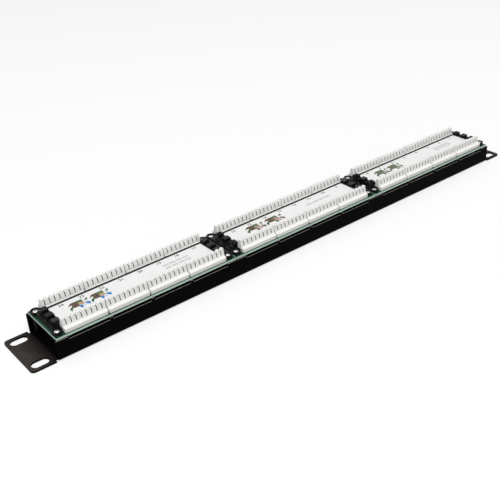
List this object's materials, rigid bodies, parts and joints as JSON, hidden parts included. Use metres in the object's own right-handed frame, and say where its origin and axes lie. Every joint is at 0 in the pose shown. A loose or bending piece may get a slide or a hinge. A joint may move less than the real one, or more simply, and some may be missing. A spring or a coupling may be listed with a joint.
{
  "type": "patch panel",
  "caption": "Flat rack patch panel: folded steel channel with jack ports in front, and rows of punch-down combs beside white label plates behind.",
  "frame": {"origin": "centre of the panel's front face, the plane that the ports open in", "axes": "+X along the panel, +Y across it towards the far punch-down row, +Z from the front face to the punch-down side"},
  "size_m": [0.4826, 0.044, 0.0262],
  "materials": {
    "black_paint": "fine satin black powder coat",
    "plated_steel": "zinc-plated, turned",
    "bright_screw": "bright nickel plate",
    "green_board": "glass-fibre laminate under green solder mask",
    "black_plastic": "moulded, fine matt",
    "gold_contact": "gold plated",
    "tinned_contact": "tinned bronze",
    "carrier_plastic": "moulded, satin black",
    "label_white": "smooth printed plastic plate",
    "white_plastic": "moulded grey-white"
  },
  "bodies": {
    "root": {"steel_panel": "black_paint", "standoffs": "plated_steel", "module_screws": "bright_screw", "circuit_board_1": "green_board", "jack_housing_1": "black_plastic", "jack_insert_1": "black_plastic", "jack_wires_1": "gold_contact", "contact_blades_1": "tinned_contact", "label_carrier_1": "carrier_plastic", "label_plate_1": "label_white", "idc_block_1_near_1": "white_plastic", "idc_block_1_near_2": "white_plastic", "idc_block_1_near_3": "white_plastic", "idc_block_1_near_4": "white_plastic", "idc_block_1_far_1": "white_plastic", "idc_block_1_far_2": "white_plastic", "idc_block_1_far_3": "white_plastic", "idc_block_1_far_4": "white_plastic", "circuit_board_2": "green_board", "jack_housing_2": "black_plastic", "jack_insert_2": "black_plastic", "jack_wires_2": "gold_contact", "contact_blades_2": "tinned_contact", "label_carrier_2": "carrier_plastic", "label_plate_2": "label_white", "idc_block_2_near_1": "white_plastic", "idc_block_2_near_2": "white_plastic", "idc_block_2_near_3": "white_plastic", "idc_block_2_near_4": "white_plastic", "idc_block_2_far_1": "white_plastic", "idc_block_2_far_2": "white_plastic", "idc_block_2_far_3": "white_plastic", "idc_block_2_far_4": "white_plastic", "circuit_board_3": "green_board", "jack_housing_3": "black_plastic", "jack_insert_3": "black_plastic", "jack_wires_3": "gold_contact", "contact_blades_3": "tinned_contact", "label_carrier_3": "carrier_plastic", "label_plate_3": "label_white", "idc_block_3_near_1": "white_plastic", "idc_block_3_near_2": "white_plastic", "idc_block_3_near_3": "white_plastic", "idc_block_3_near_4": "white_plastic", "idc_block_3_far_1": "white_plastic", "idc_block_3_far_2": "white_plastic", "idc_block_3_far_3": "white_plastic", "idc_block_3_far_4": "white_plastic"}
  },
  "joints": []
}
